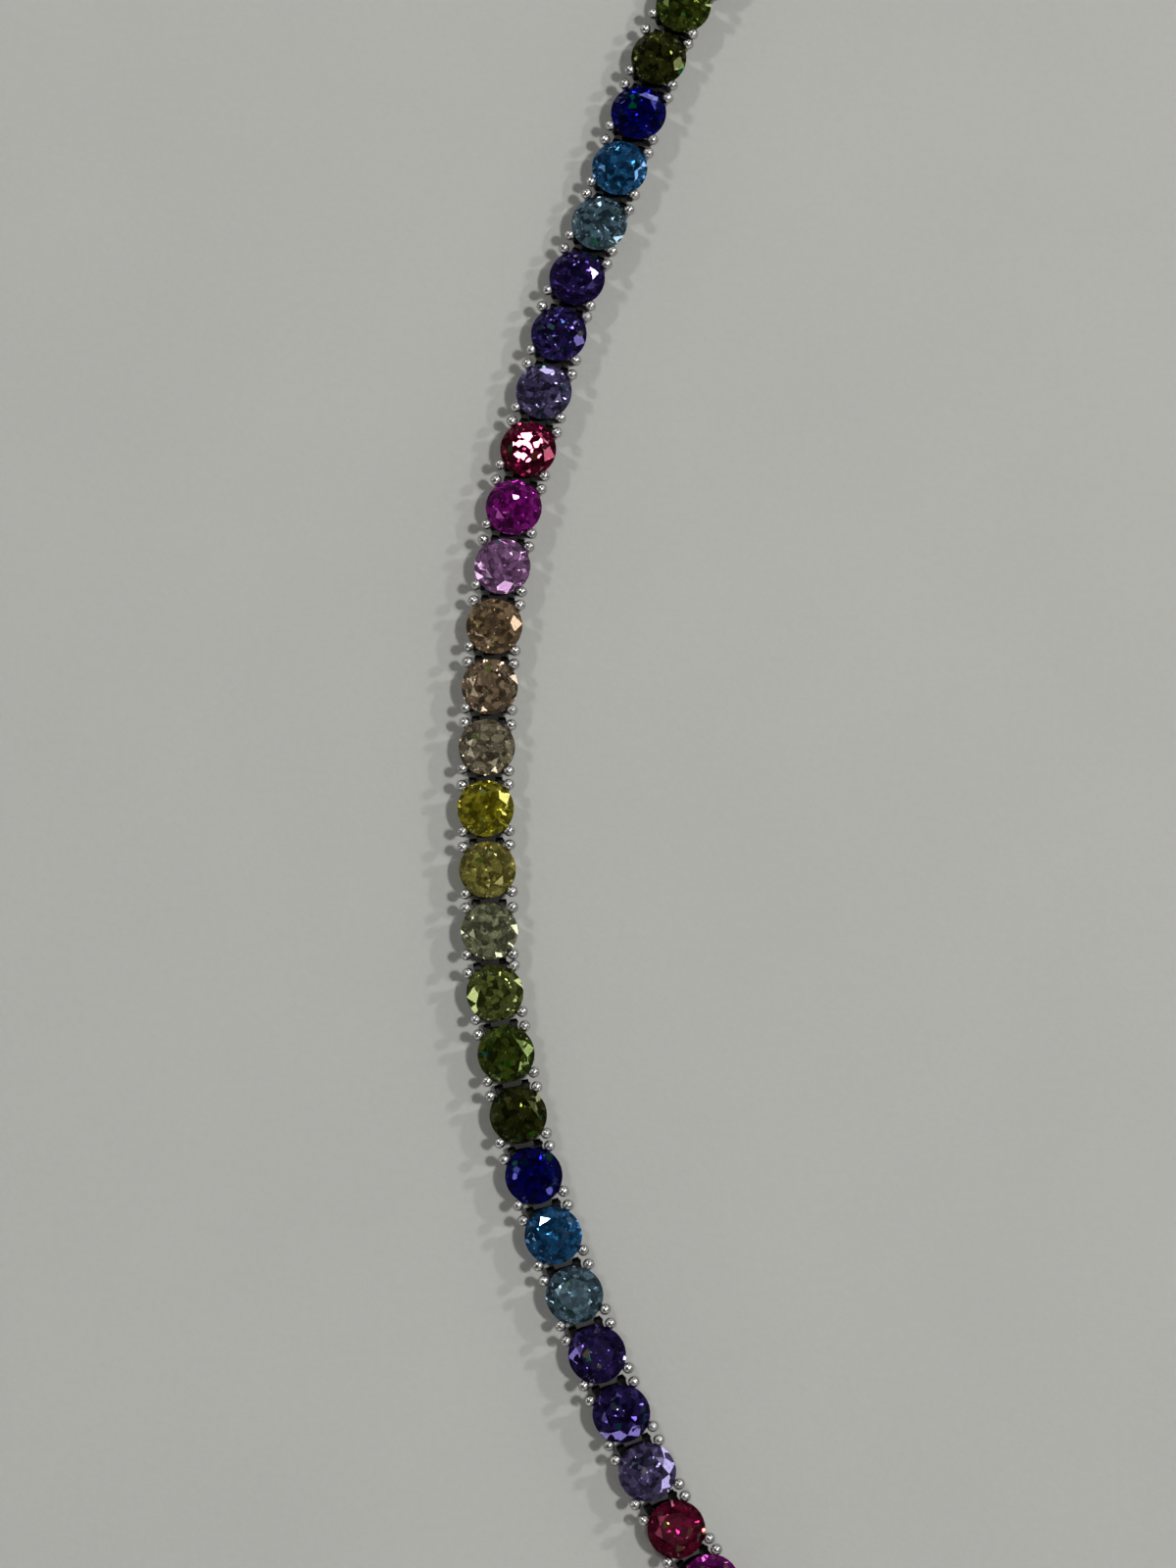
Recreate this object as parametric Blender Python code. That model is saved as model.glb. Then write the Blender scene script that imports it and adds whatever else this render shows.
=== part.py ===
"""Tennis bracelet: a closed row of round stones in four-claw links, with a box clasp.

Metres, +Z up. The bracelet lies on a flat surface with its stones up. The origin is on
that surface, in the middle of the bracelet.
"""

import math

import bmesh
import bpy
import numpy as np
from mathutils import Matrix, Vector

MM = 0.001

# Stone
STONE_DIAMETER = 2.0 * MM
TABLE_DIAMETER = 1.16 * MM
CROWN_HEIGHT = 0.32 * MM
PAVILION_DEPTH = 0.86 * MM
CULET_HEIGHT = 0.24 * MM
TABLE_SIDES = 8
GIRDLE_SIDES = 2 * TABLE_SIDES

# Setting: a square frame that stands on the surface, and a claw on each of its corners
FRAME_WIDTH = 1.40 * MM
FRAME_WALL = 0.28 * MM
FRAME_RIM = 0.12 * MM
CLAW_ROOT = 0.20 * MM
CLAW_TIP = 0.38 * MM
CLAW_CLEARANCE = 0.01 * MM
CLAW_RISE = 0.31 * MM

# Hinge bars between the frames
BAR_WIDTH = 0.36 * MM
BAR_HEIGHT = 0.30 * MM
BAR_LIFT = 0.20 * MM
BAR_SINK = 0.10 * MM

# Chain
LINK_COUNT = 81
LINKS_BEFORE_CLASP = 53
LINKS_IN_CHAIN_1 = 41
STONE_GAP = 0.18 * MM
JOINT_GAP = 0.12 * MM
TONGUE_WIDTH = 0.24 * MM
EAR_WIDTH = 0.18 * MM

# Box clasp
CLASP_LENGTH = 7.6 * MM
CLASP_WIDTH = 2.0 * MM
CLASP_HEIGHT = 1.25 * MM
CLASP_EDGE = 0.16 * MM
CATCH_LENGTH = 2.1 * MM
SEAM_WIDTH = 0.16 * MM
SEAM_DEPTH = 0.10 * MM
SLOT_DEPTH = 0.50 * MM

# The route of the row of stones, seen from above, in millimetres: down the long side that
# bends least, round the near end, back up the far side and round the far end.
ROUTE = [
    (3.42, 28.61), (1.81, 24.52), (0.41, 20.35), (-0.46, 18.35), (-1.58, 14.15), (-2.67, 9.94),
    (-3.34, 5.66), (-3.56, 1.33), (-3.65, -0.85), (-3.50, -3.02), (-3.32, -7.38), (-2.81, -9.50),
    (-2.48, -11.67), (-1.89, -13.76), (-0.48, -17.87), (1.14, -21.93), (3.00, -25.87),
    (5.2, -29.0), (12.4, -33.4), (18.2, -33.8), (26.4, -31.0), (32.9, -25.2), (38.0, -16.0),
    (40.6, -5.6), (41.1, 4.8), (39.6, 14.3), (35.8, 23.9), (30.0, 31.1), (22.6, 35.5),
    (14.3, 36.3), (6.7, 32.8),
]
ROUTE_STEPS = 24

# Finishes
METAL_COLOUR = (0.78, 0.77, 0.75)
METAL_ROUGHNESS = 0.18
STONE_ROUGHNESS = 0.05
STONE_COLOURS = {
    "sapphire": (0.010, 0.012, 0.130),
    "swiss_blue": (0.030, 0.150, 0.300),
    "aqua": (0.150, 0.220, 0.240),
    "dark_purple": (0.030, 0.008, 0.110),
    "purple": (0.050, 0.020, 0.170),
    "light_violet": (0.130, 0.110, 0.230),
    "ruby": (0.150, 0.002, 0.020),
    "magenta": (0.160, 0.008, 0.140),
    "pale_pink": (0.330, 0.190, 0.310),
    "champagne": (0.210, 0.140, 0.080),
    "peach": (0.280, 0.180, 0.120),
    "pale_champagne": (0.300, 0.250, 0.200),
    "yellow": (0.280, 0.270, 0.030),
    "light_yellow": (0.270, 0.270, 0.110),
    "grey_green": (0.240, 0.260, 0.180),
    "light_olive": (0.130, 0.160, 0.060),
    "olive": (0.070, 0.100, 0.020),
    "dark_olive": (0.050, 0.060, 0.015),
}
FIRST_COLOUR = "olive"

# Places that follow from the sizes above
STONE_RADIUS = STONE_DIAMETER / 2
TABLE_RADIUS = TABLE_DIAMETER / 2
GIRDLE_HEIGHT = CULET_HEIGHT + PAVILION_DEPTH
TABLE_HEIGHT = GIRDLE_HEIGHT + CROWN_HEIGHT
FRAME_HALF = FRAME_WIDTH / 2
SEAT_RADIUS = FRAME_HALF - FRAME_RIM
HOLE_HALF = FRAME_HALF - FRAME_WALL


def pavilion_height(radius):
    """How high the underside of the stone is at this distance from its axis."""
    return CULET_HEIGHT + PAVILION_DEPTH * radius / STONE_RADIUS


FRAME_HEIGHT = pavilion_height(SEAT_RADIUS)
GIRDLE_FLAT_RADIUS = STONE_RADIUS * math.cos(math.pi / GIRDLE_SIDES)
CLAW_DISTANCE = GIRDLE_FLAT_RADIUS + CLAW_CLEARANCE + CLAW_TIP / 2
PITCH = STONE_DIAMETER + STONE_GAP
FRAME_SPACING = PITCH - FRAME_WIDTH
BAR_MIDDLE = BAR_LIFT + BAR_HEIGHT / 2


def clear_scene():
    for obj in list(bpy.data.objects):
        bpy.data.objects.remove(obj, do_unlink=True)


def finish(name, colour, roughness, metallic):
    material = bpy.data.materials.new(name)
    material.use_nodes = True
    shader = material.node_tree.nodes["Principled BSDF"]
    shader.inputs["Base Color"].default_value = (*colour, 1.0)
    shader.inputs["Roughness"].default_value = roughness
    shader.inputs["Metallic"].default_value = metallic
    material.diffuse_color = (*colour, 1.0)
    return material


def mesh_object(name, bm, materials):
    bmesh.ops.recalc_face_normals(bm, faces=bm.faces)
    mesh = bpy.data.meshes.new(name)
    bm.to_mesh(mesh)
    bm.free()
    for material in materials:
        mesh.materials.append(material)
    obj = bpy.data.objects.new(name, mesh)
    bpy.context.scene.collection.objects.link(obj)
    return obj


def boolean(obj, other, operation):
    """Joins other to obj, or cuts it away, and keeps other out of the render."""
    modifier = obj.modifiers.new(other.name, "BOOLEAN")
    modifier.operation = operation
    modifier.object = other
    other.hide_render = True
    other.display_type = "WIRE"


def smooth_loop(points):
    """A closed smooth curve through the points, as points close together."""
    knots = np.array(points)
    chord = np.roll(knots, -1, axis=0) - knots
    length = np.linalg.norm(chord, axis=1, keepdims=True)
    before = np.roll(length, 1, axis=0)
    slope = chord / length
    tangent = (np.roll(slope, 1, axis=0) * length + slope * before) / (length + before)
    following = np.roll(tangent, -1, axis=0)
    curve = []
    for step in range(ROUTE_STEPS):
        t = step / ROUTE_STEPS
        curve.append(
            knots * (2 * t**3 - 3 * t**2 + 1)
            + tangent * length * (t**3 - 2 * t**2 + t)
            + np.roll(knots, -1, axis=0) * (3 * t**2 - 2 * t**3)
            + following * length * (t**3 - t**2)
        )
    return np.stack(curve, axis=1).reshape(-1, 2)


class Route:
    """The closed route, sized so that the links and the clasp fill it exactly."""

    def __init__(self):
        curve = smooth_loop(ROUTE)
        closed = np.vstack([curve, curve[:1]])
        reached = np.linalg.norm(np.diff(closed, axis=0), axis=1).cumsum()
        self.length = LINK_COUNT * PITCH + CLASP_LENGTH
        scale = self.length / reached[-1]
        self.points = closed * scale
        self.reached = np.concatenate([[0.0], reached]) * scale

    def point(self, distance):
        around = distance % self.length
        x = np.interp(around, self.reached, self.points[:, 0])
        y = np.interp(around, self.reached, self.points[:, 1])
        return Vector((x, y, 0.0))

    def place(self, distance, span):
        """Where a piece of this length sits, with its +Y along the route."""
        back = self.point(distance - span / 2)
        front = self.point(distance + span / 2)
        return between(back, front)


def between(back, front):
    """The place midway between two points, with its +Y from the first to the second."""
    along = front - back
    turn = Matrix.Rotation(math.atan2(-along.x, along.y), 4, "Z")
    return Matrix.Translation((back + front) / 2) @ turn


def link_distance(index):
    """How far round the route this link's middle is. The first one is on its first point."""
    past_clasp = CLASP_LENGTH if index % LINK_COUNT >= LINKS_BEFORE_CLASP else 0.0
    return (index % LINK_COUNT) * PITCH + past_clasp


def ring(bm, radius, height, sides, first_angle):
    step = 2 * math.pi / sides
    angles = [first_angle + step * i for i in range(sides)]
    return [bm.verts.new((radius * math.cos(a), radius * math.sin(a), height)) for a in angles]


def square(bm, x, y, half, height):
    """The corners of a square of this half side round (x, y), turning left."""
    signs = ((1, 1), (-1, 1), (-1, -1), (1, -1))
    return [bm.verts.new((x + sx * half, y + sy * half, height)) for sx, sy in signs]


def skirt(bm, lower, upper):
    """The wall between two rings with as many corners."""
    count = len(lower)
    for i in range(count):
        j = (i + 1) % count
        bm.faces.new((lower[i], lower[j], upper[j], upper[i]))


def skirt_to_half(bm, many, few):
    """The facets between a ring and one with half as many corners, which face its alternate sides."""
    for i in range(len(few)):
        a, b, c = (many[(2 * i + k) % len(many)] for k in range(3))
        bm.faces.new((few[i], a, b))
        bm.faces.new((few[i], b, c, few[(i + 1) % len(few)]))


def stone(bm, stone_slot):
    """The stone from its table down to its seat on the frame. Returns the seat's ring."""
    table_step = 2 * math.pi / TABLE_SIDES
    half_facet = table_step / 4
    table = ring(bm, TABLE_RADIUS, TABLE_HEIGHT, TABLE_SIDES, 0.0)
    girdle = ring(bm, STONE_RADIUS, GIRDLE_HEIGHT, GIRDLE_SIDES, -half_facet)
    seat = ring(bm, SEAT_RADIUS, FRAME_HEIGHT, TABLE_SIDES, table_step / 2)
    bm.faces.new(table)
    skirt_to_half(bm, girdle, table)
    skirt_to_half(bm, girdle[1:] + girdle[:1], seat)
    for face in bm.faces:
        face.material_index = stone_slot
    return seat


def claw(bm, x_side, y_side):
    """One claw, rising from a corner of the frame. Returns its root: inner, beside, outer, beside."""
    root_x, root_y = (side * (FRAME_HALF - CLAW_ROOT / 2) for side in (x_side, y_side))
    tip_x, tip_y = (side * CLAW_DISTANCE / math.sqrt(2) for side in (x_side, y_side))
    tip_half = CLAW_TIP / 2 / math.sqrt(2)
    root = square(bm, root_x, root_y, CLAW_ROOT / 2, FRAME_HEIGHT)
    tip = square(bm, tip_x, tip_y, tip_half, GIRDLE_HEIGHT)
    skirt(bm, root, tip)
    top = bm.verts.new((tip_x, tip_y, GIRDLE_HEIGHT + CLAW_RISE))
    for i in range(4):
        bm.faces.new((tip[i], tip[(i + 1) % 4], top))
    return root


def frame(bm, seat):
    """The frame under the stone: its top round the seat, its walls and the hole through its foot."""
    corners = [claw(bm, x_side, y_side) for x_side, y_side in ((1, 1), (-1, 1), (-1, -1), (1, -1))]
    foot = square(bm, 0.0, 0.0, FRAME_HALF, 0.0)
    mouth = square(bm, 0.0, 0.0, HOLE_HALF, 0.0)
    roof = square(bm, 0.0, 0.0, HOLE_HALF, pavilion_height(HOLE_HALF))
    culet = bm.verts.new((0.0, 0.0, CULET_HEIGHT))
    skirt(bm, foot, mouth)
    skirt(bm, mouth, roof)
    for i in range(4):
        j = (i + 1) % 4
        here, there = corners[i], corners[j]
        outer_here, outer_there = here[i], there[j]
        inner_here, inner_there = here[(i + 2) % 4], there[(j + 2) % 4]
        beside_here, beside_there = here[(i + 1) % 4], there[(j + 3) % 4]
        seat_here, seat_there = seat[2 * i + 1], seat[(2 * i + 2) % 8]
        bm.faces.new((roof[i], roof[j], culet))
        bm.faces.new((inner_here, seat[2 * i], seat_here))
        bm.faces.new(
            (seat_here, inner_here, beside_here, beside_there, inner_there, seat_there)
        )
        bm.faces.new((foot[i], foot[j], outer_there, beside_there, beside_here, outer_here))


def link(bm, place, stone_slot):
    """One link at its place: the stone, fused to the frame and its claws."""
    part = bmesh.new()
    frame(part, stone(part, stone_slot))
    part.transform(place)
    shape = bpy.data.meshes.new("link")
    part.to_mesh(shape)
    part.free()
    bm.from_mesh(shape)
    bpy.data.meshes.remove(shape)


def block(bm, place, size, middle):
    """A rectangular block of this size, its middle at this point of the place."""
    scale = Matrix.Diagonal((*size, 1.0))
    bmesh.ops.create_cube(bm, size=1.0, matrix=place @ Matrix.Translation(middle) @ scale)


def bar(bm, back, front):
    """The hinge bar between two links, sunk into the frames of both."""
    place = between(back.translation, front.translation)
    size = (BAR_WIDTH, FRAME_SPACING + 2 * BAR_SINK, BAR_HEIGHT)
    block(bm, place, size, (0.0, 0.0, BAR_MIDDLE))


def tongue(bm, place, side, reach):
    """The end link's tongue, on its front (side 1) or back (side -1), reaching past the frame."""
    size = (TONGUE_WIDTH, reach + BAR_SINK, BAR_HEIGHT)
    middle = side * (FRAME_HALF + (reach - BAR_SINK) / 2)
    block(bm, place, size, (0.0, middle, BAR_MIDDLE))


def ears(bm, place, side, reach):
    """The two ears that a tongue of the next link lies between."""
    size = (EAR_WIDTH, reach + BAR_SINK, BAR_HEIGHT)
    middle = side * (FRAME_HALF + (reach - BAR_SINK) / 2)
    for across in (-1, 1):
        offset = across * (TONGUE_WIDTH / 2 + JOINT_GAP + EAR_WIDTH / 2)
        block(bm, place, size, (offset, middle, BAR_MIDDLE))


def chain(name, route, indices, materials, first_end, last_end):
    """One half of the row as one solid. Its two ends are called with a bmesh, a place and a side."""
    places = [route.place(link_distance(i), PITCH) for i in indices]
    links = bmesh.new()
    joints = bmesh.new()
    first_slot = list(STONE_COLOURS).index(FIRST_COLOUR)
    for index, place in zip(indices, places):
        slot = (first_slot + index - LINK_COUNT) % len(STONE_COLOURS)
        link(links, place, 1 + slot)
    for back, front in zip(places, places[1:]):
        bar(joints, back, front)
    first_end(joints, places[0], -1)
    last_end(joints, places[-1], 1)
    row = mesh_object(name, links, materials)
    bars = mesh_object(name + "_bars", joints, materials[:1])
    boolean(row, bars, "UNION")
    return row


def clasp_tongue(bm, place, side):
    tongue(bm, place, side, FRAME_SPACING / 2 + SLOT_DEPTH - JOINT_GAP)


def half_tongue(bm, place, side):
    tongue(bm, place, side, FRAME_SPACING - JOINT_GAP)


def half_ears(bm, place, side):
    ears(bm, place, side, FRAME_SPACING - JOINT_GAP)


def box_clasp(route, material):
    """The closed clasp: its box, its catch and the seam between them, with a slot in each end."""
    last_link = link_distance(LINKS_BEFORE_CLASP - 1)
    place = route.place(last_link + (PITCH + CLASP_LENGTH) / 2, CLASP_LENGTH)
    box_length = CLASP_LENGTH - CATCH_LENGTH - SEAM_WIDTH
    body = bmesh.new()
    block(
        body,
        place,
        (CLASP_WIDTH, box_length, CLASP_HEIGHT),
        (0.0, (box_length - CLASP_LENGTH) / 2, CLASP_HEIGHT / 2),
    )
    block(
        body,
        place,
        (CLASP_WIDTH, CATCH_LENGTH, CLASP_HEIGHT),
        (0.0, (CLASP_LENGTH - CATCH_LENGTH) / 2, CLASP_HEIGHT / 2),
    )
    bmesh.ops.bevel(
        body,
        geom=body.edges[:],
        offset=CLASP_EDGE,
        segments=2,
        profile=0.5,
        affect="EDGES",
    )
    clasp = mesh_object("box_clasp", body, [material])
    neck = bmesh.new()
    block(
        neck,
        place,
        (
            CLASP_WIDTH - 2 * SEAM_DEPTH,
            SEAM_WIDTH + 2 * CLASP_EDGE,
            CLASP_HEIGHT - 2 * SEAM_DEPTH,
        ),
        (0.0, CLASP_LENGTH / 2 - CATCH_LENGTH - SEAM_WIDTH / 2, CLASP_HEIGHT / 2),
    )
    boolean(clasp, mesh_object("clasp_neck", neck, [material]), "UNION")
    slots = bmesh.new()
    for side in (-1, 1):
        block(
            slots,
            place,
            (TONGUE_WIDTH + 2 * JOINT_GAP, 2 * SLOT_DEPTH, BAR_HEIGHT + 2 * JOINT_GAP),
            (0.0, side * CLASP_LENGTH / 2, BAR_MIDDLE),
        )
    boolean(clasp, mesh_object("clasp_slots", slots, [material]), "DIFFERENCE")
    return clasp


def centre(objects):
    """Moves the meshes so that the origin is under the middle of the bracelet."""
    bpy.context.view_layer.update()
    corners = [
        obj.matrix_world @ vertex.co
        for obj in objects
        if not obj.hide_render
        for vertex in obj.data.vertices
    ]
    middle = [(min(c[axis] for c in corners) + max(c[axis] for c in corners)) / 2 for axis in (0, 1)]
    shift = Matrix.Translation((-middle[0], -middle[1], 0.0))
    for obj in objects:
        obj.data.transform(shift)


def main():
    clear_scene()
    metal = finish("polished_metal", METAL_COLOUR, METAL_ROUGHNESS, 1.0)
    stones = [finish(name, colour, STONE_ROUGHNESS, 0.0) for name, colour in STONE_COLOURS.items()]
    route = Route()
    split = LINKS_BEFORE_CLASP + LINKS_IN_CHAIN_1
    end = LINKS_BEFORE_CLASP + LINK_COUNT
    materials = [metal, *stones]
    chain(
        "stone_chain_1",
        route,
        range(LINKS_BEFORE_CLASP, split),
        materials,
        clasp_tongue,
        half_tongue,
    )
    chain("stone_chain_2", route, range(split, end), materials, half_ears, clasp_tongue)
    box_clasp(route, finish("polished_clasp", METAL_COLOUR, METAL_ROUGHNESS, 1.0))
    centre(list(bpy.data.objects))


main()
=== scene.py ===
import math
import random

import bmesh
import bpy
import numpy as np
from mathutils import Matrix, Vector


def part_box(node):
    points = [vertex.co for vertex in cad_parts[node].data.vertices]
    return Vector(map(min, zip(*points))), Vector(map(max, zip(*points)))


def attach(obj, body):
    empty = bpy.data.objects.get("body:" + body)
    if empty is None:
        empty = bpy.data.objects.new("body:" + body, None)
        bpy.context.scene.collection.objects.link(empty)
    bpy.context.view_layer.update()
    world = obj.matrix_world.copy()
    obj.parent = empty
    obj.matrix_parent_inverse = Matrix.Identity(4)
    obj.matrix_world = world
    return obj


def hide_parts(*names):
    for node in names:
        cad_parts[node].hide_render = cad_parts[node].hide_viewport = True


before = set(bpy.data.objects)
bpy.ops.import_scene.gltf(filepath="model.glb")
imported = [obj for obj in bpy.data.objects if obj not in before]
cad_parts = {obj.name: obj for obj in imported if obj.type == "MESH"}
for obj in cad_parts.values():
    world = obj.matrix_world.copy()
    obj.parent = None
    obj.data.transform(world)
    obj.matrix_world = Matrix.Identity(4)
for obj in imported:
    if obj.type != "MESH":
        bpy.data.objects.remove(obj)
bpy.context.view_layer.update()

# Camera: over the long side that bends least, looking almost straight down, with the far end of
# the row a little further away. The middle of the view is at the height of the stones.
MM = 0.001
PICTURE_MIDDLE = Vector((-18.772, -1.298, 1.2)) * MM
CAMERA_DISTANCE = 153.26 * MM
CAMERA_TILT = math.radians(8.975)
CAMERA_LENS = 100

lens = bpy.data.cameras.new("camera")
lens.lens = CAMERA_LENS
lens.sensor_width = 36
lens.clip_start = 1 * MM
camera = bpy.data.objects.new("camera", lens)
bpy.context.collection.objects.link(camera)
back = Vector((0, -math.sin(CAMERA_TILT), math.cos(CAMERA_TILT)))
camera.location = PICTURE_MIDDLE + CAMERA_DISTANCE * back
camera.rotation_euler = (CAMERA_TILT, 0, 0)
bpy.context.scene.camera = camera


# The lie of the row: a closed loop of links on the table, laid by hand in a free curve. Every
# link takes one pitch of it, and the closed clasp takes a stretch of the other long side.
LINK_COUNT = 81
LINKS_BEFORE_CLASP = 53
LINKS_IN_CHAIN_1 = 41
PITCH = 2.18
CLASP_LENGTH = 7.6
ROUTE = [
    (3.42, 28.61), (1.81, 24.52), (0.41, 20.35), (-0.46, 18.35), (-1.58, 14.15), (-2.67, 9.94),
    (-3.34, 5.66), (-3.56, 1.33), (-3.65, -0.85), (-3.50, -3.02), (-3.32, -7.38), (-2.81, -9.50),
    (-2.48, -11.67), (-1.89, -13.76), (-0.48, -17.87), (1.14, -21.93), (3.00, -25.87),
    (5.2, -29.0), (12.4, -33.4), (18.2, -33.8), (26.4, -31.0), (32.9, -25.2), (38.0, -16.0),
    (40.6, -5.6), (41.1, 4.8), (39.6, 14.3), (35.8, 23.9), (30.0, 31.1), (22.6, 35.5),
    (14.3, 36.3), (6.7, 32.8),
]
ROUTE_STEPS = 24


def smooth_loop(points):
    """A closed smooth curve through the points, as points close together."""
    knots = np.array(points)
    chord = np.roll(knots, -1, axis=0) - knots
    length = np.linalg.norm(chord, axis=1, keepdims=True)
    before = np.roll(length, 1, axis=0)
    slope = chord / length
    tangent = (np.roll(slope, 1, axis=0) * length + slope * before) / (length + before)
    following = np.roll(tangent, -1, axis=0)
    curve = []
    for step in range(ROUTE_STEPS):
        t = step / ROUTE_STEPS
        curve.append(
            knots * (2 * t**3 - 3 * t**2 + 1)
            + tangent * length * (t**3 - 2 * t**2 + t)
            + np.roll(knots, -1, axis=0) * (3 * t**2 - 2 * t**3)
            + following * length * (t**3 - t**2)
        )
    return np.stack(curve, axis=1).reshape(-1, 2)


loop_length = LINK_COUNT * PITCH + CLASP_LENGTH
loop = smooth_loop(ROUTE)
loop = np.vstack([loop, loop[:1]])
reached = np.linalg.norm(np.diff(loop, axis=0), axis=1).cumsum()
loop *= loop_length / reached[-1]
reached = np.concatenate([[0.0], reached]) * loop_length / reached[-1]


def point_on_loop(distance):
    around = distance % loop_length
    return Vector((np.interp(around, reached, loop[:, 0]), np.interp(around, reached, loop[:, 1]), 0))


def place_on_loop(distance, span):
    """Where a piece of this length lies, with its +Y along the row, in millimetres."""
    start, end = point_on_loop(distance - span / 2), point_on_loop(distance + span / 2)
    along = end - start
    turn = Matrix.Rotation(math.atan2(-along.x, along.y), 4, "Z")
    return Matrix.Translation((start + end) / 2) @ turn


def link_distance(index):
    """How far round the loop the middle of this link is."""
    past_clasp = CLASP_LENGTH if index % LINK_COUNT >= LINKS_BEFORE_CLASP else 0
    return (index % LINK_COUNT) * PITCH + past_clasp


clasp_distance = link_distance(LINKS_BEFORE_CLASP - 1) + (PITCH + CLASP_LENGTH) / 2
clasp_lowest, clasp_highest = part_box("box_clasp")
clasp_middle = (clasp_lowest + clasp_highest) / 2
clasp_middle.z = 0
shift = clasp_middle - place_on_loop(clasp_distance, CLASP_LENGTH).translation * MM
to_table = Matrix.Translation(shift) @ Matrix.Scale(MM, 4)
places = {
    index: to_table @ place_on_loop(link_distance(index), PITCH)
    for index in range(LINKS_BEFORE_CLASP, LINKS_BEFORE_CLASP + LINK_COUNT)
}
clasp_place = to_table @ place_on_loop(clasp_distance, CLASP_LENGTH)
chain_split = LINKS_BEFORE_CLASP + LINKS_IN_CHAIN_1
chain_links = {
    "stone_chain_1": [i for i in places if i < chain_split],
    "stone_chain_2": [i for i in places if i >= chain_split],
}


# Settings: under each stone is an open basket of white metal, cast in one with its claws. Four
# round wires rise from a square base rail through a gallery rail, lean out past the stone and
# end in balls that are pressed over its edge. Modelled in millimetres, then set along the row.
BASE_WIDTH = 1.40
BASE_WALL = 0.24
BASE_HEIGHT = 0.20
GALLERY_WIDTH = 1.46
GALLERY_WALL = 0.17
GALLERY_FOOT = 0.50
GALLERY_TOP = 0.70
RAIL_EDGE = 0.03
CLAW_RADIUS = 0.125
CLAW_STATIONS = ((0.91, 0.01), (0.96, 0.60), (1.10, 0.95), (1.165, 1.18))
BALL_RADIUS = 0.20
BALL_DISTANCE = 1.165
BALL_HEIGHT = 1.22


def select_only(obj):
    for other in bpy.context.selected_objects:
        other.select_set(False)
    obj.select_set(True)
    bpy.context.view_layer.objects.active = obj


def start(primitive, **settings):
    """Adds a primitive, with nothing else selected."""
    for other in bpy.context.selected_objects:
        other.select_set(False)
    primitive(**settings)
    return bpy.context.object


def edit(obj, kind, chosen):
    """Opens the piece in edit mode with only its chosen faces, edges or vertices selected."""
    select_only(obj)
    bpy.ops.object.mode_set(mode="EDIT")
    bpy.ops.mesh.select_mode(type=kind)
    bpy.ops.mesh.select_all(action="DESELECT")
    shape = bmesh.from_edit_mesh(obj.data)
    shape.normal_update()
    for item in {"VERT": shape.verts, "EDGE": shape.edges, "FACE": shape.faces}[kind]:
        if chosen(item):
            item.select_set(True)
    bmesh.update_edit_mesh(obj.data)


def close_edit():
    bpy.ops.object.mode_set(mode="OBJECT")


def join(name, objects):
    """Joins the objects, which may overlap, as one named piece."""
    select_only(objects[0])
    for other in objects[1:]:
        other.select_set(True)
    if len(objects) > 1:
        bpy.ops.object.join()
    objects[0].name = name
    return objects[0]


def block(size, middle):
    """A cube stretched to this size, with its place in its mesh."""
    cube = start(bpy.ops.mesh.primitive_cube_add, size=1, scale=size, location=middle)
    bpy.ops.object.transform_apply(location=True, rotation=True, scale=True)
    return cube


def bevel_edges(obj, width, segments, chosen=lambda edge: True):
    edit(obj, "EDGE", chosen)
    bpy.ops.mesh.bevel(offset=width, segments=segments, affect="EDGES")
    close_edit()


def square_rail(width, wall, foot, top):
    """A square frame of flat wire, its inner and outer edges softened."""
    rail = block((width, width, top - foot), (0, 0, (foot + top) / 2))
    edit(rail, "FACE", lambda face: abs(face.normal.z) > 0.9)
    bpy.ops.mesh.inset(thickness=wall)
    bpy.ops.mesh.bridge_edge_loops()
    close_edit()
    bevel_edges(rail, RAIL_EDGE, 1, lambda edge: edge.calc_face_angle(0) > 1)
    return rail


def claw():
    """One claw at the (+X, +Y) corner, from its foot on the base rail to its ball."""
    (first, foot), *stations = CLAW_STATIONS
    wire = start(
        bpy.ops.mesh.primitive_circle_add,
        vertices=6,
        radius=CLAW_RADIUS,
        fill_type="NGON",
        location=(first / math.sqrt(2), first / math.sqrt(2), foot),
    )
    bpy.ops.object.transform_apply(location=True, rotation=True, scale=True)
    edit(wire, "FACE", lambda face: True)
    out, height = first, foot
    for next_out, next_height in stations:
        step = (next_out - out) / math.sqrt(2)
        bpy.ops.mesh.extrude_region_move(
            TRANSFORM_OT_translate={"value": (step, step, next_height - height)}
        )
        out, height = next_out, next_height
    bpy.ops.mesh.select_all(action="SELECT")
    bpy.ops.mesh.normals_make_consistent(inside=False)
    close_edit()
    ball_place = (BALL_DISTANCE / math.sqrt(2), BALL_DISTANCE / math.sqrt(2), BALL_HEIGHT)
    ball = start(
        bpy.ops.mesh.primitive_uv_sphere_add,
        segments=14,
        ring_count=8,
        radius=BALL_RADIUS,
        location=ball_place,
    )
    bpy.ops.object.transform_apply(location=True, rotation=True, scale=True)
    return join("claw", [wire, ball])


def turned_copy(obj, turn):
    """A copy of the piece with its own mesh, turned by this matrix."""
    copy = obj.copy()
    copy.data = obj.data.copy()
    copy.data.transform(turn)
    bpy.context.collection.objects.link(copy)
    return copy


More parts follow.
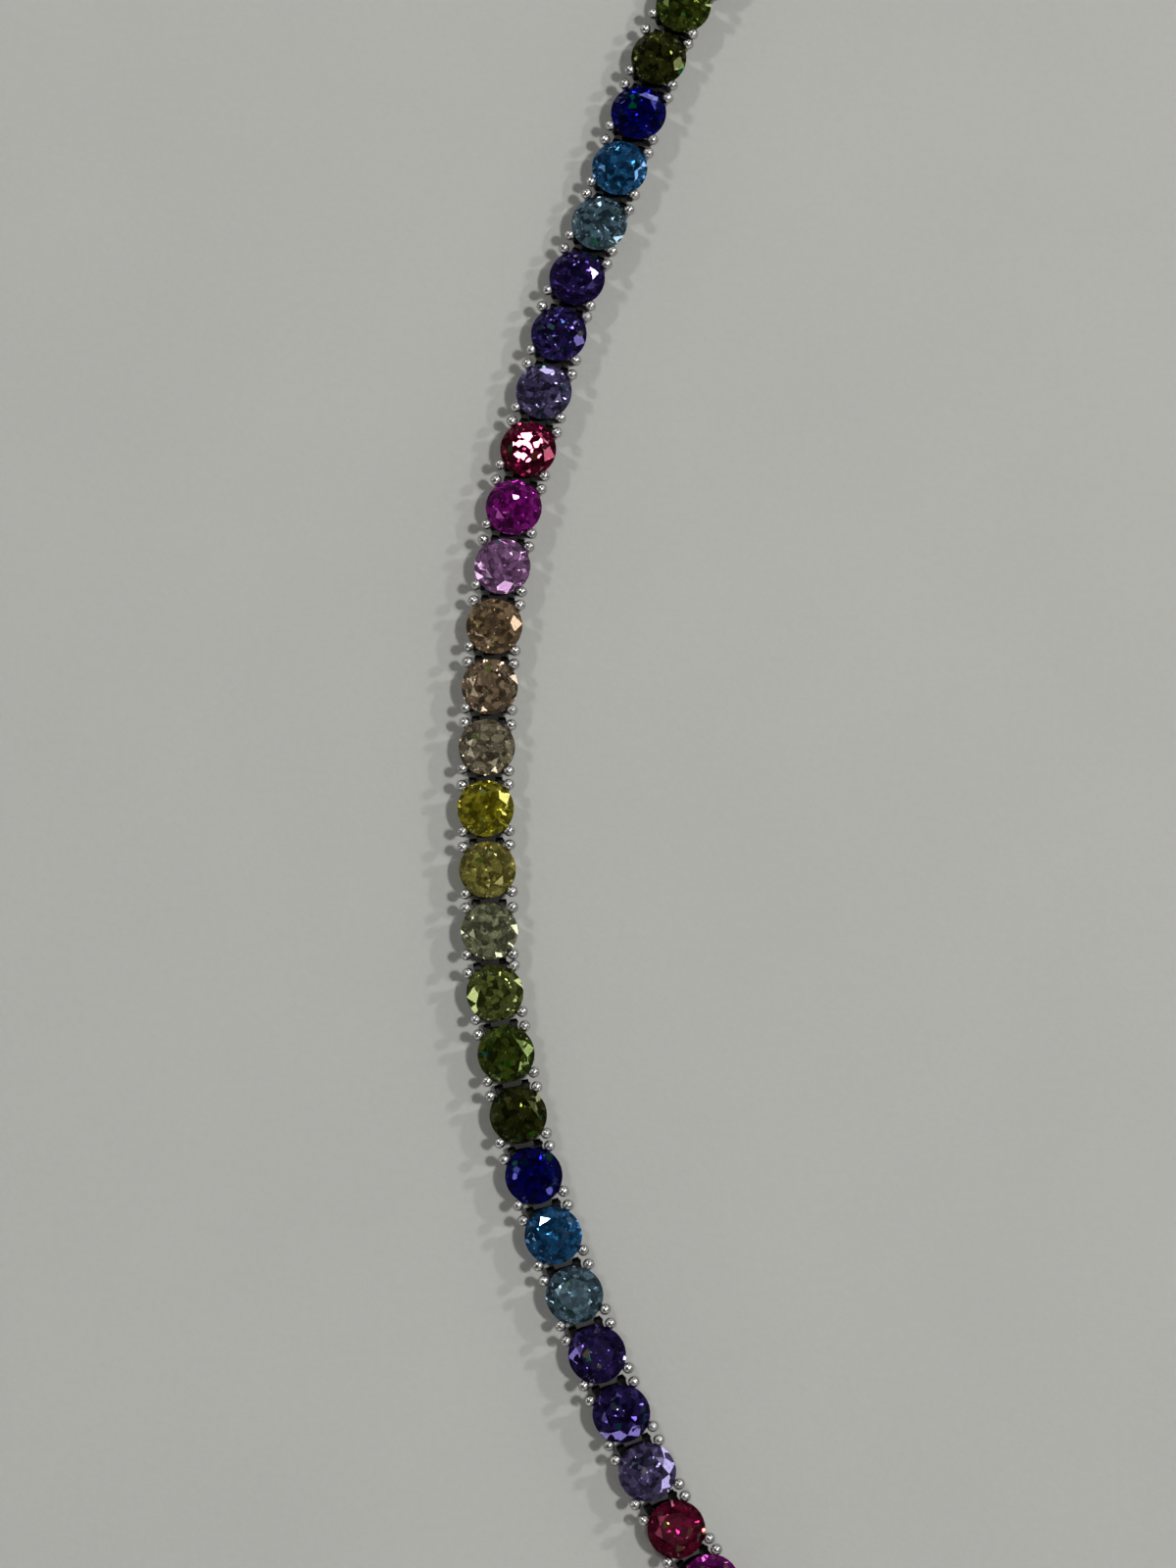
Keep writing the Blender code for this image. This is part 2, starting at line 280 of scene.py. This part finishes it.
base_rail = square_rail(BASE_WIDTH, BASE_WALL, 0, BASE_HEIGHT)
gallery_rail = square_rail(GALLERY_WIDTH, GALLERY_WALL, GALLERY_FOOT, GALLERY_TOP)
first_claw = claw()
other_claws = [turned_copy(first_claw, Matrix.Rotation(math.pi / 2 * k, 4, "Z")) for k in (1, 2, 3)]
basket = join("basket", [base_rail, gallery_rail, first_claw, *other_claws])


# Hinges: each basket has a tongue on its front and two ears on its back, cast with it. The
# tongue lies between the ears of the next link, and a riveted pin of the same metal goes
# through all three. The end links have tongues that go into the clasp.
HINGE_OUT = PITCH / 2
HINGE_HEIGHT = 0.35
HINGE_ROUND = 0.15
HINGE_ROOT = 0.55
TONGUE_WIDTH = 0.64
EAR_WIDTH = 0.25
EAR_OFFSET = 0.47
PIN_RADIUS = 0.075
PIN_LENGTH = 1.26
CLASP_TONGUE_REACH = 1.46
LUG_BEVEL = 0.95 * HINGE_ROUND
PLATE_WIDTH = 1.22
PLATE_THICKNESS = 0.16
PLATE_HEIGHT = 0.64
PLATE_INSET = 0.02
SMOOTH_BELOW = math.radians(40)


def lug(width, offset, reach, side):
    """A flat lug that stands out from the basket and ends in a half-round."""
    length = reach - HINGE_ROOT
    middle = side * (HINGE_ROOT + length / 2)
    piece = block((width, length, 2 * HINGE_ROUND), (offset, middle, HINGE_HEIGHT))
    end = side * reach

    def at_end(edge):
        return all(abs(v.co.y - end) < 0.01 for v in edge.verts) and (
            abs(edge.verts[0].co.z - edge.verts[1].co.z) < 0.01
        )

    bevel_edges(piece, LUG_BEVEL, 3, at_end)
    return piece


def plate(side):
    """The upright plate between the rails that the lugs grow out of."""
    middle = side * ((BASE_WIDTH - PLATE_THICKNESS) / 2 - PLATE_INSET)
    piece = block((PLATE_WIDTH, PLATE_THICKNESS, PLATE_HEIGHT), (0, middle, GALLERY_TOP / 2))
    bevel_edges(piece, RAIL_EDGE, 1)
    return piece


def tongue(side, reach):
    return join("tongue", [plate(side), lug(TONGUE_WIDTH, 0, reach, side)])


def ears(side):
    pair = [lug(EAR_WIDTH, across * EAR_OFFSET, HINGE_OUT + HINGE_ROUND, side) for across in (-1, 1)]
    return join("ears", [plate(side), *pair])


def pin(length, middle):
    """A riveted pin along X, its two heads slightly domed."""
    piece = start(
        bpy.ops.mesh.primitive_cylinder_add,
        vertices=10,
        radius=PIN_RADIUS,
        depth=length,
        location=middle,
        rotation=(0, math.pi / 2, 0),
    )
    bpy.ops.object.transform_apply(location=True, rotation=True, scale=True)
    bevel_edges(piece, PIN_RADIUS / 3, 1, lambda edge: edge.calc_face_angle(0) > 1)
    return piece


def set_at(prototype, spots):
    """A copy of the piece at each place, each with its own mesh."""
    return [turned_copy(prototype, spot) for spot in spots]


def make_metal_smooth(obj):
    select_only(obj)
    bpy.ops.object.shade_smooth_by_angle(angle=SMOOTH_BELOW)


front_tongue = tongue(1, HINGE_OUT + HINGE_ROUND)
back_ears = ears(-1)
clasp_tongues = {side: tongue(side, CLASP_TONGUE_REACH) for side in (-1, 1)}
hinge_pin = pin(PIN_LENGTH, (0, 0, HINGE_HEIGHT))
first_link, last_link = min(places), max(places)
settings = {}
for node, indices in chain_links.items():
    link_places = [places[i] for i in indices]
    with_tongue = [places[i] for i in indices if i != last_link]
    with_ears = [places[i] for i in indices if i != first_link]
    hinge_places = [
        to_table @ place_on_loop(link_distance(i) + HINGE_OUT, PITCH) for i in indices if i != last_link
    ]
    parts = set_at(basket, link_places) + set_at(front_tongue, with_tongue)
    parts += set_at(back_ears, with_ears) + set_at(hinge_pin, hinge_places)
    parts += [turned_copy(clasp_tongues[-1], places[i]) for i in indices if i == first_link]
    parts += [turned_copy(clasp_tongues[1], places[i]) for i in indices if i == last_link]
    settings[node] = join(node.replace("stone_chain", "settings"), parts)
    make_metal_smooth(settings[node])
for prototype in (basket, front_tongue, back_ears, *clasp_tongues.values(), hinge_pin):
    bpy.data.objects.remove(prototype)


class Value:
    """A number that a finish works out at each point. Arithmetic on it adds Math nodes."""

    def __init__(self, finish, socket):
        self.finish = finish
        self.socket = socket

    def combine(self, operation, first, second):
        return self.finish.add("ShaderNodeMath", {"operation": operation}, {0: first, 1: second})

    def also(self, output):
        """Another output of the node that this value comes from."""
        return Value(self.finish, self.socket.node.outputs[output])

    def __add__(self, other):
        return self.combine("ADD", self, other)

    def __radd__(self, other):
        return self.combine("ADD", other, self)

    def __rsub__(self, other):
        return self.combine("SUBTRACT", other, self)

    def __mul__(self, other):
        return self.combine("MULTIPLY", self, other)

    def __rmul__(self, other):
        return self.combine("MULTIPLY", other, self)

    def __pow__(self, other):
        return self.combine("POWER", self, other)


class Finish:
    """A surface finish, or the room's light: a shader and the nodes that vary it."""

    def __init__(self, holder, shader="Principled BSDF", place="Object", **constants):
        holder.use_nodes = True
        self.holder = holder
        self.tree = holder.node_tree
        self.shader = self.tree.nodes[shader]
        self.set(**constants)
        self.place = self.add("ShaderNodeTexCoord", output=place)

    def set(self, **inputs):
        """Sets the shader's sockets."""
        self.fill(self.shader, inputs)

    def fill(self, node, inputs):
        """Sets a node's sockets to numbers and colours, or links them to values."""
        for name, value in inputs.items():
            socket = node.inputs[name.replace("_", " ") if isinstance(name, str) else name]
            if isinstance(value, Value):
                self.tree.links.new(value.socket, socket)
            else:
                socket.default_value = value

    def add(self, kind, settings=None, inputs=None, output=0):
        """Adds a node: its settings first, then its sockets. Returns the output that is named."""
        node = self.tree.nodes.new(kind)
        for name, value in (settings or {}).items():
            setattr(node, name, value)
        self.fill(node, inputs or {})
        return Value(self, node.outputs[output])

    def noise(self, size, detail, roughness=0.5, stretch=(1, 1, 1)):
        """Noise from 0 to 1 with patches of this size, stretched along the axes."""
        spot = self.add(
            "ShaderNodeMapping", {"vector_type": "POINT"}, {"Vector": self.place, "Scale": stretch}
        )
        settings = {"Vector": spot, "Scale": 1 / size, "Detail": detail, "Roughness": roughness}
        return self.add("ShaderNodeTexNoise", inputs=settings)

    def rise(self, value, low, high, kind="LINEAR", bottom=0, top=1):
        """Goes from bottom to top as the value goes from low to high."""
        steps = {"From_Min": low, "From_Max": high, "To_Min": bottom, "To_Max": top}
        return self.add(
            "ShaderNodeMapRange", {"interpolation_type": kind}, {"Value": value, **steps}
        )

    def mix(self, share, first, second):
        """A colour between two others."""
        return self.add(
            "ShaderNodeMix",
            {"data_type": "RGBA", "clamp_factor": True},
            {0: share, 6: first, 7: second},
            output=2,
        )

    def bump(self, height, distance):
        """Raises the surface by up to this many metres."""
        normal = self.add("ShaderNodeBump", inputs={"Height": height, "Distance": distance})
        self.set(Normal=normal)


PLATED_BRIGHT = (0.56, 0.55, 0.53, 1)
PLATED_DULL = (0.42, 0.41, 0.40, 1)
# Painted shade: these near-black colours stand in for the shade low down among the rails, hinges and
# claw feet, and are painted below a given height.
PAINTED_SHADE_BRIGHT = (0.06, 0.058, 0.056, 1)
PAINTED_SHADE_DULL = (0.035, 0.034, 0.033, 1)
METAL_EDGE_TINT = (0.3, 0.3, 0.3, 1)
RUBBING_DEPTH = 0.002 * MM


def white_metal(name, polish, painted_shade_top):
    """Rhodium-plated silver: bright, faintly uneven and finely rubbed, with painted shade that makes it
    dark down in recesses.
    """
    metal = Finish(bpy.data.materials.new(name), Metallic=1.0, Specular_Tint=METAL_EDGE_TINT)
    height = metal.add("ShaderNodeSeparateXYZ", inputs={"Vector": metal.place}, output="Z")
    unshaded_share = metal.rise(height, 0.5 * painted_shade_top, painted_shade_top, "SMOOTHSTEP")
    tone = metal.noise(0.9 * MM, detail=4)
    rubbed = metal.noise(0.05 * MM, detail=2, stretch=(1.0, 0.12, 1.0))
    dull = metal.noise(0.35 * MM, detail=5, roughness=0.6)
    plated = metal.mix(tone**2, PLATED_BRIGHT, PLATED_DULL)
    # Painted shade: below the given height the plated colour gives way to near black, standing in for
    # shade.
    painted_shade = metal.mix(tone**2, PAINTED_SHADE_BRIGHT, PAINTED_SHADE_DULL)
    metal.set(
        Base_Color=metal.mix(unshaded_share, painted_shade, plated),
        Roughness=polish + 0.05 * dull + 0.03 * rubbed + 0.05 * (1 - unshaded_share),
    )
    metal.bump(0.6 * dull + 0.4 * rubbed, RUBBING_DEPTH)
    return metal.holder


# The settings' metal is painted with shade below 0.95 mm.
setting_metal = white_metal("polished_setting", 0.17, 0.95 * MM)
for node, piece in settings.items():
    piece.data.materials.clear()
    piece.data.materials.append(setting_metal)
    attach(piece, "root")
    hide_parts(node)


# Stones: round brilliants of clear coloured zirconia, polished flat by flat on a wheel. A table,
# 8 star, 8 kite and 16 upper girdle facets are above the girdle, and 16 lower girdle facets and
# 8 pavilion mains below it. Each is set a little askew, as a setter's hand leaves it.
STONE_RADIUS = 1.0
TABLE_RADIUS = 0.58
TABLE_HEIGHT = 1.42
GIRDLE_TOP = 1.13
GIRDLE_FOOT = 1.10
CULET_HEIGHT = 0.24
STAR_SHARE = 0.50
LOWER_GIRDLE_SHARE = 0.77
STONE_SIDES = 32
FACET_STEP = math.pi / 4
STONE_COLOURS = {
    "sapphire": (0.002, 0.002, 0.125),
    "swiss_blue": (0.022, 0.135, 0.318),
    "aqua": (0.123, 0.213, 0.273),
    "dark_purple": (0.029, 0.015, 0.104),
    "purple": (0.029, 0.017, 0.114),
    "light_violet": (0.128, 0.104, 0.235),
    "ruby": (0.145, 0.003, 0.028),
    "magenta": (0.302, 0.010, 0.252),
    "pale_pink": (0.649, 0.321, 0.660),
    "champagne": (0.375, 0.252, 0.138),
    "peach": (0.392, 0.280, 0.178),
    "pale_champagne": (0.416, 0.354, 0.238),
    "yellow": (0.449, 0.399, 0.023),
    "light_yellow": (0.575, 0.516, 0.123),
    "grey_green": (0.467, 0.485, 0.280),
    "light_olive": (0.142, 0.171, 0.039),
    "olive": (0.067, 0.098, 0.012),
    "dark_olive": (0.037, 0.042, 0.008),
}
FIRST_COLOUR = "olive"
SHINING_LINK = 8 + LINK_COUNT
ASKEW = math.radians(1.5)
# Painted reflections: each cell of a stone's colour is painted lighter or darker, standing in for
# facets that mirror one another. The same cells also lean the surface a little.
PAINTED_REFLECTION_CELL_SIZE = 0.20 * MM
MIRRORED_LEAN = 0.012
PAINTED_DARK_SHARE = 0.3
PAINTED_LIGHT_TIMES = 2.7
FULL_SHINE_FROM = 0.3
# Painted flashes: a rare few cells are painted in bright saturated colours, standing in for the
# coloured flashes that light splits into in a cut stone.
PAINTED_FIRE_SHARE = 0.3
PAINTED_FIRE_RARITY = 40
STONE_INDEX = 2.15
STONE_CLEARNESS = 0.85


def round_stone():
    """The cut stone, from a cylinder that is bisected once for each facet."""
    depth = TABLE_HEIGHT - CULET_HEIGHT
    stone = start(
        bpy.ops.mesh.primitive_cylinder_add,
        vertices=STONE_SIDES,
        radius=STONE_RADIUS,
        depth=depth,
        location=(0, 0, CULET_HEIGHT + depth / 2),
    )
    bpy.ops.object.transform_apply(location=True, rotation=True, scale=True)
    inside = Vector((0, 0, GIRDLE_FOOT))

    def spot(radius, angle, height):
        return Vector((radius * math.cos(angle), radius * math.sin(angle), height))

    def grind(a, b, c):
        """Cuts away all that lies beyond the flat through three points."""
        outward = (b - a).cross(c - a).normalized()
        if outward.dot(a - inside) < 0:
            outward = -outward
        edit(stone, "FACE", lambda face: True)
        bpy.ops.mesh.bisect(
            plane_co=a, plane_no=outward, use_fill=True, clear_outer=True, threshold=1e-6
        )
        close_edit()

    crown_slope = (TABLE_HEIGHT - GIRDLE_TOP) / (STONE_RADIUS - TABLE_RADIUS)
    pavilion_slope = (GIRDLE_FOOT - CULET_HEIGHT) / STONE_RADIUS
    along_seam = math.cos(FACET_STEP / 2)
    table_flat = TABLE_RADIUS * along_seam
    star_tip = table_flat + STAR_SHARE * (STONE_RADIUS - table_flat)
    lower_tip = (1 - LOWER_GIRDLE_SHARE) * STONE_RADIUS
    star_height = TABLE_HEIGHT - crown_slope * (star_tip * along_seam - TABLE_RADIUS)
    lower_height = CULET_HEIGHT + pavilion_slope * lower_tip * along_seam
    culet = spot(0, 0, CULET_HEIGHT)
    for k in range(8):
        main, seam, following = (k * FACET_STEP + share * FACET_STEP for share in (0, 0.5, 1))
        before = main - FACET_STEP / 2
        table_corner = spot(TABLE_RADIUS, main, TABLE_HEIGHT)
        next_corner = spot(TABLE_RADIUS, following, TABLE_HEIGHT)
        star = spot(star_tip, seam, star_height)
        lower = spot(lower_tip, seam, lower_height)
        grind(table_corner, star, spot(star_tip, before, star_height))
        grind(table_corner, next_corner, star)
        grind(culet, lower, spot(lower_tip, before, lower_height))
        for corner in (main, following):
            grind(star, spot(STONE_RADIUS, corner, GIRDLE_TOP), spot(STONE_RADIUS, seam, GIRDLE_TOP))
            grind(lower, spot(STONE_RADIUS, corner, GIRDLE_FOOT), spot(STONE_RADIUS, seam, GIRDLE_FOOT))
    return stone


def stone_finish(name, colour):
    """Clear coloured stone with painted reflections: its colour painted light and dark cell by cell, as
    its facets would mirror one another, and a few cells painted as bright coloured flashes.
    """
    strongest = max(colour)
    shine = min(1, strongest / FULL_SHINE_FROM) ** 0.8
    stone = Finish(
        bpy.data.materials.new(name),
        Roughness=0.0,
        IOR=STONE_INDEX,
        Transmission_Weight=STONE_CLEARNESS,
        Specular_Tint=(*(shine * (0.2 + 0.8 * c / strongest) for c in colour), 1),
    )
    painted_reflection_cells = stone.add(
        "ShaderNodeTexVoronoi",
        {"feature": "F1"},
        {"Vector": stone.place, "Scale": 1 / PAINTED_REFLECTION_CELL_SIZE},
        output="Color",
    )
    painted_reflection_level = stone.add("ShaderNodeSeparateColor", inputs={"Color": painted_reflection_cells}, output="Red")
    painted_fire_rarity = stone.add("ShaderNodeSeparateColor", inputs={"Color": painted_reflection_cells}, output="Green")
    # Painted flashes: bright, saturated cell colours that stand in for coloured flashes of light.
    painted_fire = stone.add(
        "ShaderNodeHueSaturation", inputs={"Color": painted_reflection_cells, "Saturation": 1.8, "Value": 1.2}
    )
    # Painted reflections: the body colour is painted darker in some cells and lighter in others,
    # standing in for light and shade that the facets would mirror.
    painted_dark_reflection = (*(PAINTED_DARK_SHARE * c for c in colour), 1)
    painted_light_reflection = (*(min(PAINTED_LIGHT_TIMES, 1 / strongest) * c for c in colour), 1)
    body = stone.mix(painted_reflection_level**2, painted_dark_reflection, painted_light_reflection)
    stone.set(Base_Color=stone.mix(PAINTED_FIRE_SHARE * painted_fire_rarity**PAINTED_FIRE_RARITY, body, painted_fire))
    from_middle = stone.add(
        "ShaderNodeVectorMath",
        {"operation": "SUBTRACT"},
        {0: stone.place, 1: painted_reflection_cells.also("Position")},
    )
    lean = stone.add(
        "ShaderNodeVectorMath", {"operation": "SUBTRACT"}, {0: painted_reflection_cells, 1: (0.5, 0.5, 0.5)}
    )
    slope = stone.add(
        "ShaderNodeVectorMath", {"operation": "DOT_PRODUCT"}, {0: from_middle, 1: lean}, output="Value"
    )
    stone.bump(slope, MIRRORED_LEAN)
    return stone.holder


first_slot = list(STONE_COLOURS).index(FIRST_COLOUR)
cut_stone = round_stone()
girdle_centre = Matrix.Translation((0, 0, GIRDLE_TOP))
hand = random.Random(7)
stones_by_colour = {name: [] for name in STONE_COLOURS}
for index, place in places.items():
    turn = Matrix.Rotation(hand.uniform(0, 2 * math.pi), 4, "Z")
    lean = 0 if index == SHINING_LINK else ASKEW
    askew = Matrix.Rotation(lean * hand.uniform(-1, 1), 4, "X")
    askew @= Matrix.Rotation(lean * hand.uniform(-1, 1), 4, "Y")
    set_stone = place @ girdle_centre @ askew @ girdle_centre.inverted() @ turn
    name = list(STONE_COLOURS)[(first_slot + index - LINK_COUNT) % len(STONE_COLOURS)]
    stones_by_colour[name].append(turned_copy(cut_stone, set_stone))
bpy.data.objects.remove(cut_stone)
for name, stones in stones_by_colour.items():
    piece = join("stones_" + name, stones)
    piece.data.materials.append(stone_finish(name + "_stone", STONE_COLOURS[name]))
    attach(piece, "root")


# Clasp: a box clasp of the same white metal. The box, folded from sheet, takes the spring tongue
# of the catch, and closed they meet at a fine seam. A slot in each end takes an end link's tongue
# on a pin that is riveted almost flush with the sides.
CLASP_WIDTH = 2.0
CLASP_HEIGHT = 1.25
CLASP_EDGE = 0.16
CATCH_LENGTH = 2.1
SEAM_WIDTH = 0.12
SEAM_DEPTH = 0.14
SLOT_DEPTH = 0.50
SLOT_WIDTH = 0.78
SLOT_HEIGHT = 0.46
CLASP_PIN_INSET = 0.26
CLASP_PIN_LENGTH = 2.03


def cut(obj, cutter):
    """Cuts the second piece out of the first."""
    select_only(obj)
    modifier = obj.modifiers.new("cut", "BOOLEAN")
    modifier.operation = "DIFFERENCE"
    modifier.object = cutter
    bpy.ops.object.modifier_apply(modifier=modifier.name)
    bpy.data.objects.remove(cutter)


def clasp_block(length, middle):
    """One end of the clasp, its edges rounded over."""
    piece = block((CLASP_WIDTH, length, CLASP_HEIGHT), (0, middle, CLASP_HEIGHT / 2))
    bevel_edges(piece, CLASP_EDGE, 4)
    return piece


box_length = CLASP_LENGTH - CATCH_LENGTH - SEAM_WIDTH
box = clasp_block(box_length, (box_length - CLASP_LENGTH) / 2)
catch = clasp_block(CATCH_LENGTH, (CLASP_LENGTH - CATCH_LENGTH) / 2)
for end, side in ((box, -1), (catch, 1)):
    slot = block((SLOT_WIDTH, 2 * SLOT_DEPTH, SLOT_HEIGHT), (0, side * CLASP_LENGTH / 2, HINGE_HEIGHT))
    cut(end, slot)
spring = block(
    (CLASP_WIDTH - 2 * SEAM_DEPTH, SEAM_WIDTH + 2 * CLASP_EDGE, CLASP_HEIGHT - 2 * SEAM_DEPTH),
    (0, CLASP_LENGTH / 2 - CATCH_LENGTH - SEAM_WIDTH / 2, CLASP_HEIGHT / 2),
)
rivets = [
    pin(CLASP_PIN_LENGTH, (0, side * (CLASP_LENGTH / 2 - CLASP_PIN_INSET), HINGE_HEIGHT))
    for side in (-1, 1)
]
clasp = join("clasp", [box, catch, spring, *rivets])
clasp.data.transform(clasp_place)
make_metal_smooth(clasp)
clasp.data.materials.clear()
# The clasp's metal is painted with shade only in its lowest 0.15 mm.
clasp.data.materials.append(white_metal("polished_clasp", 0.12, 0.15 * MM))
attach(clasp, "root")
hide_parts("box_clasp")


# Table and light: a sheet of matt grey paper, a soft lamp high on the right that throws short
# shadows to the left, and two weaker ones beyond the far end. A little lamp shines off one stone's
# table. The dim room is darkest overhead, with small bright patches that the stones mirror.
FLOOR_SIZE = 3.0
FLOOR_DROP = 0.02 * MM
LAMPS = {
    "right_lamp": ((167, -26, 440), 38, 1.16),
    "far_right_lamp": ((317, 188, 330), 30, 0.54),
    "left_lamp": ((-171, 285, 380), 44, 0.58),
}
TABLE_LAMP_SIZE = (3.6 * MM, 3.0 * MM)
TABLE_LAMP_TURN = math.radians(40)
TABLE_LAMP_POWER = 0.0024
TABLE_LAMP_ASIDE = Vector((-1.6 * MM, 0, 0))
PAPER_DARK = (0.366, 0.366, 0.344, 1)
PAPER_LIGHT = (0.429, 0.429, 0.401, 1)
PAPER_GRAIN_DEPTH = 0.01 * MM
ROOM_AT_TABLE = 0.07
ROOM_OVERHEAD = 0.003
ROOM_DIMS_FROM = 0.35
ROOM_DIMS_TO = 0.90
ROOM_PATCH_SIZE = 1 / 9
ROOM_PATCH_EDGE = 0.70
ROOM_PATCH_LIGHT = 100


def paper():
    sheet = Finish(bpy.data.materials.new("paper"), Roughness=0.9)
    grain = sheet.noise(0.25 * MM, detail=4)
    clouds = sheet.noise(9 * MM, detail=2)
    sheet.set(Base_Color=sheet.mix(0.5 * grain + 0.5 * clouds, PAPER_DARK, PAPER_LIGHT))
    sheet.bump(grain, PAPER_GRAIN_DEPTH)
    return sheet.holder


def lamp(name, spot, target, power, shape, size, depth, turn=0):
    """A flat lamp at a spot, aimed at the target."""
    light = bpy.data.lights.new(name, "AREA")
    light.shape = shape
    light.size = size
    light.size_y = depth
    light.energy = power
    holder = bpy.data.objects.new(name, light)
    bpy.context.collection.objects.link(holder)
    aim = (spot - target).to_track_quat("Z", "Y").to_matrix().to_4x4()
    holder.matrix_world = Matrix.Translation(spot) @ aim @ Matrix.Rotation(turn, 4, "Z")
    holder.visible_camera = False


floor = start(bpy.ops.mesh.primitive_plane_add, size=FLOOR_SIZE, location=(0, 0, -FLOOR_DROP))
bpy.ops.object.transform_apply(location=True, rotation=True, scale=True)
floor.name = "floor"
floor.data.materials.append(paper())
for name, (spot, width, power) in LAMPS.items():
    away = Vector(spot) * MM
    lamp(name, PICTURE_MIDDLE + away, PICTURE_MIDDLE, power, "DISK", width * MM, width * MM)

shining = places[SHINING_LINK] @ Vector((0, 0, TABLE_HEIGHT))
away = camera.location - shining
mirrored_spot = shining + Vector((-away.x, -away.y, away.z)) + TABLE_LAMP_ASIDE
lamp(
    "table_lamp",
    mirrored_spot,
    shining,
    TABLE_LAMP_POWER,
    "ELLIPSE",
    *TABLE_LAMP_SIZE,
    TABLE_LAMP_TURN,
)
room = Finish(bpy.data.worlds.new("room"), "Background", "Generated", Color=(1, 1, 1, 1))
upward = room.add("ShaderNodeSeparateXYZ", inputs={"Vector": room.place}, output="Z")
dimming = room.rise(upward, ROOM_DIMS_FROM, ROOM_DIMS_TO, "LINEAR", ROOM_AT_TABLE, ROOM_OVERHEAD)
patch = room.noise(ROOM_PATCH_SIZE, detail=0)
bright = room.rise(patch, ROOM_PATCH_EDGE, ROOM_PATCH_EDGE + 0.01, "LINEAR", 1, ROOM_PATCH_LIGHT)
room.set(Strength=dimming * bright)
bpy.context.scene.world = room.holder
bpy.context.scene.view_settings.view_transform = "Standard"
